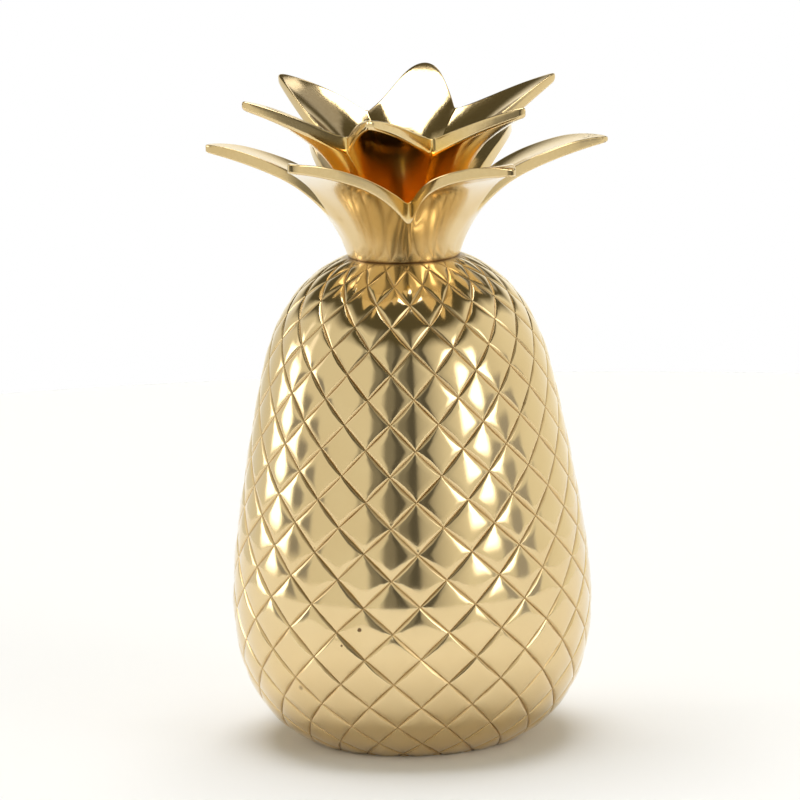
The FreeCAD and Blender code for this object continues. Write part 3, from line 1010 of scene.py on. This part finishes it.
def drawn_out(tree, place, share, turn=(0.0, 0.0, 0.0)):
    """The place squeezed along Z, so that a pattern on it is drawn out that way."""
    return add_node(
        tree, "ShaderNodeMapping", {"Vector": place, "Rotation": turn, "Scale": (1.0, 1.0, share)}
    ).outputs[0]


def distance_to(tree, place, centre):
    """Distance of a place from a point in millimetres."""
    point = [c * MM for c in centre]
    return add_node(
        tree, "ShaderNodeVectorMath", {0: place, 1: point}, operation="DISTANCE"
    ).outputs["Value"]


def mark_of(tree, name):
    return add_node(tree, "ShaderNodeAttribute", attribute_name=name).outputs["Fac"]


def new_group(name, inputs, outputs):
    """An empty node group of plain numbers. inputs gives the default of each."""
    group = bpy.data.node_groups.new(name, "ShaderNodeTree")
    for label, default in inputs.items():
        socket = group.interface.new_socket(label, in_out="INPUT", socket_type="NodeSocketFloat")
        socket.default_value = default
    for label in outputs:
        group.interface.new_socket(label, in_out="OUTPUT", socket_type="NodeSocketFloat")
    return group, group.nodes.new("NodeGroupInput").outputs, group.nodes.new("NodeGroupOutput").inputs


def grouped(tree, group, **inputs):
    """Outputs of a node group with these inputs, where an underscore stands for a space."""
    labels = {key.replace("_", " "): value for key, value in inputs.items()}
    return add_node(tree, "ShaderNodeGroup", labels, node_tree=group).outputs


def polish_group():
    """Fine polishing lines, cloudy tarnish and casting pits over any of the metals."""
    group, given, out = new_group(
        "polish_and_pits", {"Lines": 900.0, "Clouds": 60.0, "Pits": 160.0, "Pit Share": 0.06},
        ("Clouds", "Pits", "Height"),
    )
    place = object_place(group)
    lines = noise(group, drawn_out(group, place, 0.08, (0.5, 0.3, 0.2)), given["Lines"], 3.0, 0.6)
    clouds = noise(group, place, given["Clouds"], 4.0, 0.55)
    cells = add_node(group, "ShaderNodeTexVoronoi", {"Vector": place, "Scale": given["Pits"]}).outputs
    chance = add_node(group, "ShaderNodeSeparateColor", {"Color": cells["Color"]}).outputs[0]
    chosen = math_node(group, "LESS_THAN", chance, given["Pit Share"])
    round_pit = add_node(group, "ShaderNodeMapRange", {
        "Value": cells["Distance"], "From Min": 0.05, "From Max": 0.16, "To Min": 1.0, "To Max": 0.0,
    }).outputs[0]
    pits = times(group, chosen, round_pit)
    height = minus(group, times(group, lines, 0.25), times(group, pits, 2.0))
    for label, value in (("Clouds", clouds), ("Pits", pits), ("Height", height)):
        group.links.new(value, out[label])
    return group


def grain_group():
    """Cast grain of the unpolished insides of the leaves."""
    group, given, out = new_group("cast_grain", {"Scale": 900.0}, ("Grain", "Streaks"))
    place = object_place(group)
    group.links.new(noise(group, place, given["Scale"], 5.0, 0.7), out["Grain"])
    group.links.new(noise(group, drawn_out(group, place, 0.12), 420.0, 2.0), out["Streaks"])
    return group


def new_material(name, **settings):
    """A material, its node tree and its shader with these settings."""
    material = bpy.data.materials.new(name)
    material.use_nodes = True
    shader = material.node_tree.nodes["Principled BSDF"]
    for key, value in settings.items():
        shader.inputs[key.replace("_", " ")].default_value = value
    return material, material.node_tree, shader


def finish_surface(tree, shader, color, rough, height, strength, distance):
    tree.links.new(color, shader.inputs["Base Color"])
    plug(tree, shader.inputs["Roughness"], rough)
    bump = add_node(tree, "ShaderNodeBump", {"Height": height, "Strength": strength, "Distance": distance})
    tree.links.new(bump.outputs[0], shader.inputs["Normal"])


def brass_base(finish, polish, name):
    """Polished brass with clouds of tarnish, fine polishing lines and casting pits."""
    material, tree, shader = new_material(
        name, Metallic=1.0, Coat_Weight=finish.lacquer, Coat_Roughness=0.06)
    surface = grouped(
        tree, polish, Lines=finish.line_scale, Clouds=55.0, Pits=150.0, Pit_Share=finish.pit_share)
    cloud = spread(tree, surface["Clouds"], 0.35, 0.7)
    color = mix_color(tree, times(tree, cloud, 0.5), finish.brass_color, finish.brass_shade)
    color = mix_color(tree, times(tree, surface["Pits"], 0.8), color, finish.patina_color)
    rough = plus(tree, times(tree, cloud, 0.04), finish.brass_roughness)
    return material, tree, shader, surface, color, rough


def body_brass(finish, polish):
    """Brass of the body, with a thin dark line of old polish at the bottom of the cuts."""
    material, tree, shader, surface, color, rough = brass_base(finish, polish, "brass_cut_body")
    mark = mark_of(tree, "patina")
    color = mix_color(tree, times(tree, spread(tree, mark, 0.55, 0.97), 0.9), color, finish.patina_color)
    color = mix_color(tree, times(tree, spread(tree, mark, 0.1, 0.5), 0.55), color, finish.cut_color)
    rough = plus(tree, rough, times(tree, spread(tree, mark, 0.05, 0.5), 0.24))
    height = surface["Height"]
    place = object_place(tree)
    for centre, radius in CASTING_PITS:
        pit = spread(tree, distance_to(tree, place, centre), radius * MM, 0.7 * radius * MM)
        color = mix_color(tree, pit, color, finish.patina_color)
        height = minus(tree, height, times(tree, pit, 4.0))
    finish_surface(tree, shader, color, rough, height, 0.3, 0.00006)
    return material


def leaf_brass(finish, polish, grain):
    """Brass of the crowns: softer on the neck, grainy inside, with painted amber light where brass lights
    brass.
    """
    material, tree, shader, surface, color, rough = brass_base(finish, polish, "brass_leaves")
    inside, recess, neck = (mark_of(tree, name) for name in ("inside", "recess", "neck"))
    bare = math_node(tree, "MAXIMUM", inside, recess)
    coat = times(tree, minus(tree, 1.0, bare), finish.lacquer)
    tree.links.new(coat, shader.inputs["Coat Weight"])
    cast = grouped(tree, grain, Scale=850.0)
    # Painted reflection: the amber light that brass throws on brass between the crowns, painted into the
    # colour
    color = mix_color(tree, times(tree, recess, 0.8), color, finish.painted_bounce_color)
    # The point of the right lower leaf has small pits
    place = object_place(tree)
    near_tip = spread(tree, distance_to(tree, place, PITTED_TIP), 0.0065, 0.0035)
    pitted = times(tree, near_tip, spread(tree, noise(tree, place, 900.0, 2.0), 0.55, 0.68))
    color = mix_color(tree, times(tree, pitted, 0.6), color, finish.patina_color)
    dull = times(tree, inside, spread(tree, cast["Grain"], 0.35, 0.75))
    color = mix_color(tree, times(tree, dull, 0.45), color, finish.cut_color)
    color = mix_color(tree, mark_of(tree, "seam"), color, finish.patina_color)
    rough = plus(tree, rough, times(tree, neck, 0.05))
    rough = plus(tree, rough, times(tree, recess, 0.10))
    height = plus(tree, surface["Height"], times(tree, cast["Streaks"], 0.6))
    height = plus(tree, height, times(tree, times(tree, cast["Grain"], inside), 0.6))
    height = minus(tree, height, times(tree, pitted, 3.0))
    finish_surface(tree, shader, color, rough, height, 0.35, 0.00007)
    return material


def steel(finish, polish):
    """Zinc plated steel with cloudy plating and fine turning lines."""
    material, tree, shader = new_material("plated_steel", Metallic=1.0)
    surface = grouped(tree, polish, Lines=1400.0, Clouds=240.0, Pits=500.0, Pit_Share=0.04)
    dull = [0.72 * c for c in finish.steel_color]
    color = mix_color(tree, surface["Clouds"], finish.steel_color, dull)
    rough = plus(tree, times(tree, surface["Clouds"], 0.2), 0.22)
    finish_surface(tree, shader, color, rough, surface["Height"], 0.4, 0.00004)
    return material


def felt_material(finish):
    """Dense wool felt: tangled fibres, light and dark flecks and a soft sheen."""
    material, tree, shader = new_material("green_felt", Sheen_Weight=0.5, Sheen_Roughness=0.6)
    place = object_place(tree)
    fibres = noise(tree, place, 2600.0, 6.0, 0.75, 1.5)
    felting = noise(tree, place, 220.0, 3.0)
    light = [min(1.0, 1.7 * c) for c in finish.felt_color]
    shade = [0.55 * c for c in finish.felt_color]
    color = mix_color(tree, fibres, shade, light)
    color = mix_color(tree, times(tree, felting, 0.6), color, finish.felt_color)
    height = plus(tree, fibres, times(tree, felting, 0.6))
    finish_surface(tree, shader, color, 0.95, height, 0.9, 0.0004)
    return material


# Stage

# Tone of the studio's walls by the angle about the object from the camera, right side positive
STUDIO_WALLS = (
    (-180, 1.16),
    (-165, 1.00),
    (-150, 0.80),
    (-27, 0.85),
    (-20, 0.27),
    (-9, 0.25),
    (-4, 0.12),
    (5, 0.10),
    (9, 0.45),
    (16, 0.60),
    (36, 0.88),
    (66, 0.80),
    (90, 0.90),
    (140, 1.00),
    (180, 1.16),
)

# Lamps and dark openings in the walls: middle and half width, lower and upper edge, softness and tone
STUDIO_PANELS = (
    (-104, 10, -3, 16, 6, 3.4),
    (-98, 5, 17, 34, 5, 1.3),
    (52, 10, 4, 28, 7, 3.6),
    (-82, 8, -3, 10, 5, 0.32),
    (76, 9, -8, 10, 5, 0.42),
    (147, 15, 34, 62, 5, 0.45),
    (166, 4, 32, 45, 2, 1.6),
)

# Where the walls give way to the backdrop behind the object, and how softly both end upwards
BACKDROP_SIDES = (105, 135)
WALL_SOFTNESS = 13
OVERHEAD_SOFTNESS = 0.05


def box_group():
    """A soft-edged box in two coordinates, as a mask."""
    group, given, out = new_group(
        "soft_box",
        {
            "Across": 0.0, "Up": 0.0, "Middle Across": 0.0, "Middle Up": 0.0,
            "Half Width": 0.1, "Half Height": 0.1, "Softness": 0.05,
        },
        ("Mask",),
    )
    masks = []
    for value, half in (("Across", "Half Width"), ("Up", "Half Height")):
        apart = math_node(group, "ABSOLUTE", minus(group, given[value], given["Middle " + value]))
        left = math_node(group, "DIVIDE", minus(group, given[half], apart), given["Softness"])
        masks.append(math_node(group, "ADD", left, 0.5, clamp=True))
    group.links.new(times(group, *masks), out["Mask"])
    return group


def studio_world(stage):
    """Soft studio light: walls with lamps and openings, a dark gap above them and a lamp overhead."""
    world = bpy.data.worlds.new("studio")
    world.use_nodes = True
    bpy.context.scene.world = world
    tree = world.node_tree
    place = add_node(tree, "ShaderNodeTexCoord").outputs["Generated"]
    parts = add_node(tree, "ShaderNodeSeparateXYZ", {"Vector": place}).outputs
    azimuth = math_node(tree, "ARCTAN2", parts["X"], times(tree, parts["Y"], -1.0))
    height = math_node(tree, "ARCSINE", parts["Z"])
    box = box_group()

    def tone_of(value, tint=(1, 1, 1)):
        return [value * c / stage.brightest for c in tint]

    def lamp(color, tone, across, up, middle, half, softness):
        mask = grouped(
            tree, box, Across=across, Up=up, Middle_Across=middle[0], Middle_Up=middle[1],
            Half_Width=half[0], Half_Height=half[1], Softness=softness)
        return mix_color(tree, mask["Mask"], color, tone_of(tone))

    turn = plus(tree, math_node(tree, "DIVIDE", azimuth, 2 * pi), 0.5)
    ramp = add_node(tree, "ShaderNodeValToRGB", {"Fac": turn})
    elements = ramp.color_ramp.elements
    elements.remove(elements[-1])
    for number, (angle, tone) in enumerate(STUDIO_WALLS):
        position = (angle + 180) / 360
        element = elements.new(position) if number else elements[0]
        element.position = position
        element.color = (*tone_of(tone, stage.wall_tint), 1.0)
    # The backdrop behind the object is lower than the walls in front
    behind = spread(tree, math_node(tree, "ABSOLUTE", azimuth), *map(radians, BACKDROP_SIDES))
    top = add_node(
        tree, "ShaderNodeMix", {0: behind, 2: stage.wall_height, 3: stage.backdrop_height}).outputs[0]
    above = math_node(tree, "DIVIDE", minus(tree, height, top), radians(WALL_SOFTNESS), clamp=True)
    color = mix_color(tree, above, ramp.outputs["Color"], tone_of(stage.gap_tone, stage.gap_tint))
    for angle, half, low, high, softness, tone in STUDIO_PANELS:
        middle = radians(angle), radians((low + high) / 2)
        size = radians(half), radians((high - low) / 2)
        color = lamp(color, tone, azimuth, height, middle, size, radians(softness))
    # The lamp overhead is flat, so its edges are straight in the plane above the object
    above_horizon = math_node(tree, "MAXIMUM", parts["Z"], 0.05)
    flat = [math_node(tree, "DIVIDE", parts[axis], above_horizon) for axis in "XY"]
    color = lamp(
        color, stage.ceiling_tone, *flat, stage.ceiling_middle, stage.ceiling_half, OVERHEAD_SOFTNESS)
    bright = mix_color(tree, 1.0, color, [stage.brightest] * 3, "MULTIPLY")
    path = add_node(tree, "ShaderNodeLightPath").outputs
    seen = mix_color(tree, path["Is Camera Ray"], bright, (1.0, 1.0, 1.0))
    tree.links.new(seen, tree.nodes["Background"].inputs["Color"])
    return world


def make_floor(stage):
    deselect()
    bpy.ops.mesh.primitive_circle_add(
        vertices=128, radius=stage.floor_radius, fill_type="NGON", location=(0, 0, 0))
    floor = settle(bpy.context.object, "studio_floor")
    tone = stage.floor_tone
    material, _, _ = new_material(
        "studio_floor", Base_Color=(tone, tone, tone, 1.0), Roughness=0.9, Specular_IOR_Level=0.1)
    floor.data.materials.append(material)
    return floor


def make_camera(stage):
    deselect()
    rise = stage.camera_rise
    place = Vector((0, 0, stage.camera_aim)) + Vector((0, -cos(rise), sin(rise))) * stage.camera_distance
    bpy.ops.object.camera_add(location=place)
    camera = bpy.context.object
    camera.name = "photo_camera"
    camera.rotation_euler = (
        Matrix.Rotation(pi / 2 - rise, 4, "X") @ Matrix.Rotation(-stage.camera_roll, 4, "Z")
    ).to_euler()
    camera.data.lens = stage.camera_lens
    camera.data.shift_x = stage.camera_shift_x
    camera.data.shift_y = stage.camera_shift_y
    camera.data.dof.use_dof = False
    camera.data.clip_start = 0.01
    bpy.context.scene.camera = camera
    bpy.context.scene.view_settings.view_transform = "Standard"
    return camera


# Settings


def length_setting(name, description, default, low=0.0, high=10.0):
    return FloatProperty(
        name=name, description=description, default=default, min=low, max=high,
        subtype="DISTANCE", unit="LENGTH")


def share_setting(name, description, default, low=0.0, high=1.0):
    return FloatProperty(
        name=name, description=description, default=default, min=low, max=high, subtype="FACTOR")


def angle_setting(name, description, default):
    return FloatProperty(
        name=name, description=description, default=radians(default), subtype="ANGLE", unit="ROTATION")


def tone_setting(name, description, default, low=0.0, high=8.0):
    return FloatProperty(name=name, description=description, default=default, min=low, max=high)


def color_setting(name, description, default):
    return FloatVectorProperty(
        name=name, description=description, default=default, size=3, min=0, max=1, subtype="COLOR")


class BodyShape(bpy.types.PropertyGroup):
    """Cut skin of the body."""

    cut_depth: length_setting(
        "Cut Depth", "Depth of a left leaning cut half way between crossings", 0.00058, 0.0, 0.003)
    cut_width: length_setting(
        "Cut Width", "Width of a cut half way between crossings", 0.0018, 0.0005, 0.005)
    crossing_left: share_setting(
        "Left Leaning Width", "Share of the width that left leaning cuts keep where they cross", 0.38, 0.05)
    crossing_right: share_setting(
        "Right Leaning Width", "Share of the width that right leaning cuts keep where they cross", 0.28, 0.05)
    right_share: share_setting(
        "Right Leaning Size", "Size of the right leaning cuts as a share of the others", 0.9, 0.1, 1.5)
    edge_roll: length_setting(
        "Edge Roll", "How far the edges of a cell roll down beside a cut", 0.00014, 0.0, 0.001)
    roll_width: length_setting("Roll Width", "Width of the rolled edge of a cell", 0.0010, 0.0002, 0.004)
    cell_dome: length_setting("Cell Dome", "Rise of the middle of a cell", 0.00027, 0.0, 0.002)
    waver: share_setting("Hand Waver", "How far the crossings stray, as a share of a cell", 0.018, 0.0, 0.1)
    seed: IntProperty(name="Seed", description="Seed of the small differences between cuts", default=7, min=0)


class CrownShape(bpy.types.PropertyGroup):
    """Leaves and socket of the crowns."""

    lower_reach: length_setting(
        "Lower Leaf Reach", "Distance of the lower leaves' points from the axis", 0.060)
    upper_reach: length_setting(
        "Upper Leaf Reach", "Distance of the upper leaves' points from the axis", 0.049)
    socket_radius: length_setting("Socket Radius", "Radius of the candle socket", 0.01125)


class Finish(bpy.types.PropertyGroup):
    """Colours and polish."""

    brass_color: color_setting("Brass", "Colour of the clean polished brass", (0.79, 0.61, 0.33))
    brass_shade: color_setting("Brass Clouds", "Colour of the slightly tarnished brass", (0.73, 0.54, 0.27))
    cut_color: color_setting("Cuts", "Colour of the sides of the cuts and the cast grain", (0.58, 0.38, 0.15))
    # Painted reflection: amber light of brass on brass between the crowns, painted into the colour
    painted_bounce_color: color_setting("Recess", "Colour between the crowns", (0.93, 0.60, 0.10))
    patina_color: color_setting("Patina", "Colour at the bottom of the cuts", (0.16, 0.085, 0.03))
    brass_roughness: share_setting("Brass Roughness", "Roughness of the polished brass", 0.10)
    lacquer: share_setting("Lacquer", "Weight of the clear lacquer over the brass", 0.4)
    line_scale: tone_setting("Polishing Lines", "Scale of the fine polishing lines", 900.0, 0.0, 5000.0)
    pit_share: share_setting("Casting Pits", "Share of the surface's cells with a pit", 0.004)
    steel_color: color_setting("Steel", "Colour of the plated steel", (0.60, 0.60, 0.58))
    felt_color: color_setting("Felt", "Colour of the felt", (0.07, 0.16, 0.10))


class Stage(bpy.types.PropertyGroup):
    """Floor, light and camera."""

    camera_aim: length_setting("Aim Height", "Height that the camera looks at", 0.09735)
    camera_distance: length_setting("Camera Distance", "Distance from the aim", 1.770)
    camera_lens: FloatProperty(
        name="Lens", description="Focal length of the camera in millimetres", default=270.0, min=1.0,
        unit="CAMERA")
    camera_rise: angle_setting("Camera Rise", "Angle of the camera above the level", 10.56)
    camera_roll: angle_setting("Camera Roll", "Turn of the camera about its own axis", 1.41)
    camera_shift_x: FloatProperty(name="Shift X", description="Sideways shift of the frame", default=-0.00975)
    camera_shift_y: FloatProperty(name="Shift Y", description="Upward shift of the frame", default=0.01256)
    floor_radius: length_setting("Table Radius", "Radius of the round white table", 0.6)
    floor_tone: tone_setting("Table Tone", "Tone of the plain table", 0.92, 0.0, 1.0)
    wall_height: angle_setting("Wall Height", "Height angle of the front walls' upper edge", 38)
    backdrop_height: angle_setting("Backdrop Height", "Height angle of the backdrop's upper edge", 14)
    gap_tone: tone_setting("Gap Tone", "Tone between the walls and the lamp overhead", 0.10, 0.0, 4.0)
    wall_tint: color_setting("Wall Tint", "Tint of the cream walls", (1.0, 0.985, 0.88))
    gap_tint: color_setting("Gap Tint", "Tint of the dim room above the walls", (1.0, 0.90, 0.55))
    ceiling_tone: tone_setting("Overhead Tone", "Tone of the soft lamp overhead", 5.8)
    ceiling_middle: FloatVectorProperty(
        name="Overhead Middle", description="Middle of the lamp overhead, one unit above the object",
        default=(-0.06, 0.21), size=2)
    ceiling_half: FloatVectorProperty(
        name="Overhead Half Size",
        description="Half the sides of the lamp overhead, one unit above the object",
        default=(0.37, 0.33), size=2)
    brightest: tone_setting("Brightest Tone", "Tone that the world's colours are shares of", 6.0, 1.0)


# Operators and panel


class PieceOperator:
    bl_options = {"REGISTER", "UNDO"}


class CANDLESTICK_OT_materials(PieceOperator, bpy.types.Operator):
    """Builds the metals and the felt"""

    bl_idname = "candlestick.materials"
    bl_label = "Build Materials"

    def execute(self, context):
        finish = context.scene.candlestick_finish
        polish, grain = polish_group(), grain_group()
        body_brass(finish, polish)
        leaf_brass(finish, polish, grain)
        steel(finish, polish)
        felt_material(finish)
        return {"FINISHED"}


class CANDLESTICK_OT_body(PieceOperator, bpy.types.Operator):
    """Builds the hollow body with its cut skin"""

    bl_idname = "candlestick.body"
    bl_label = "Build Body"

    def execute(self, context):
        body = make_body(context.scene.candlestick_body)
        dress(body, bpy.data.materials["brass_cut_body"], "polished_brass", "body")
        return {"FINISHED"}


class CANDLESTICK_OT_crowns(PieceOperator, bpy.types.Operator):
    """Builds both leaf crowns"""

    bl_idname = "candlestick.crowns"
    bl_label = "Build Leaf Crowns"

    def execute(self, context):
        shape = context.scene.candlestick_crowns
        leaves = bpy.data.materials["brass_leaves"]
        dress(make_lower_crown(shape), leaves, "polished_brass", "lower_crown")
        dress(make_upper_crown(shape), leaves, "polished_brass", "upper_crown")
        return {"FINISHED"}


class CANDLESTICK_OT_hardware(PieceOperator, bpy.types.Operator):
    """Builds the clamping screw and finishes the washers, the nut and the disc"""

    bl_idname = "candlestick.hardware"
    bl_label = "Build Hardware"

    def execute(self, context):
        plated = bpy.data.materials["plated_steel"]
        dress(make_screw(), plated, "steel", "crown_screw")
        for name in ("flat_washer", "spring_washer", "hex_nut", "base_disc"):
            dress_node(name, plated)
        return {"FINISHED"}


class CANDLESTICK_OT_felt(PieceOperator, bpy.types.Operator):
    """Builds the felt under the foot"""

    bl_idname = "candlestick.felt"
    bl_label = "Build Felt"

    def execute(self, context):
        felt = make_felt(context.scene.candlestick_body)
        dress(felt, bpy.data.materials["green_felt"], "felt", "base_felt")
        return {"FINISHED"}


class CANDLESTICK_OT_stage(PieceOperator, bpy.types.Operator):
    """Builds the floor, the studio light and the camera"""

    bl_idname = "candlestick.stage"
    bl_label = "Build Stage"

    def execute(self, context):
        stage = context.scene.candlestick_stage
        make_floor(stage)
        studio_world(stage)
        make_camera(stage)
        return {"FINISHED"}


STEPS = (
    CANDLESTICK_OT_materials,
    CANDLESTICK_OT_body,
    CANDLESTICK_OT_crowns,
    CANDLESTICK_OT_hardware,
    CANDLESTICK_OT_felt,
    CANDLESTICK_OT_stage,
)
SETTINGS = {
    "candlestick_body": BodyShape,
    "candlestick_crowns": CrownShape,
    "candlestick_finish": Finish,
    "candlestick_stage": Stage,
}


class CANDLESTICK_PT_panel(bpy.types.Panel):
    """Lists the settings and the steps that build the candlestick"""

    bl_label = "Candlestick"
    bl_idname = "CANDLESTICK_PT_panel"
    bl_space_type = "VIEW_3D"
    bl_region_type = "UI"
    bl_category = "Candlestick"

    def draw(self, context):
        for group in SETTINGS:
            settings = getattr(context.scene, group)
            box = self.layout.box()
            for name in settings.__annotations__:
                box.prop(settings, name)
        for operator in STEPS:
            self.layout.operator(operator.bl_idname)


CLASSES = tuple(SETTINGS.values()) + STEPS + (CANDLESTICK_PT_panel,)


def register():
    for cls in CLASSES:
        bpy.utils.register_class(cls)
    for name, cls in SETTINGS.items():
        setattr(bpy.types.Scene, name, PointerProperty(type=cls))


def unregister():
    for name in SETTINGS:
        delattr(bpy.types.Scene, name)
    for cls in reversed(CLASSES):
        bpy.utils.unregister_class(cls)


def main():
    register()
    bpy.ops.candlestick.materials()
    bpy.ops.candlestick.body()
    bpy.ops.candlestick.crowns()
    bpy.ops.candlestick.hardware()
    bpy.ops.candlestick.felt()
    bpy.ops.candlestick.stage()


if __name__ == "__main__":
    main()
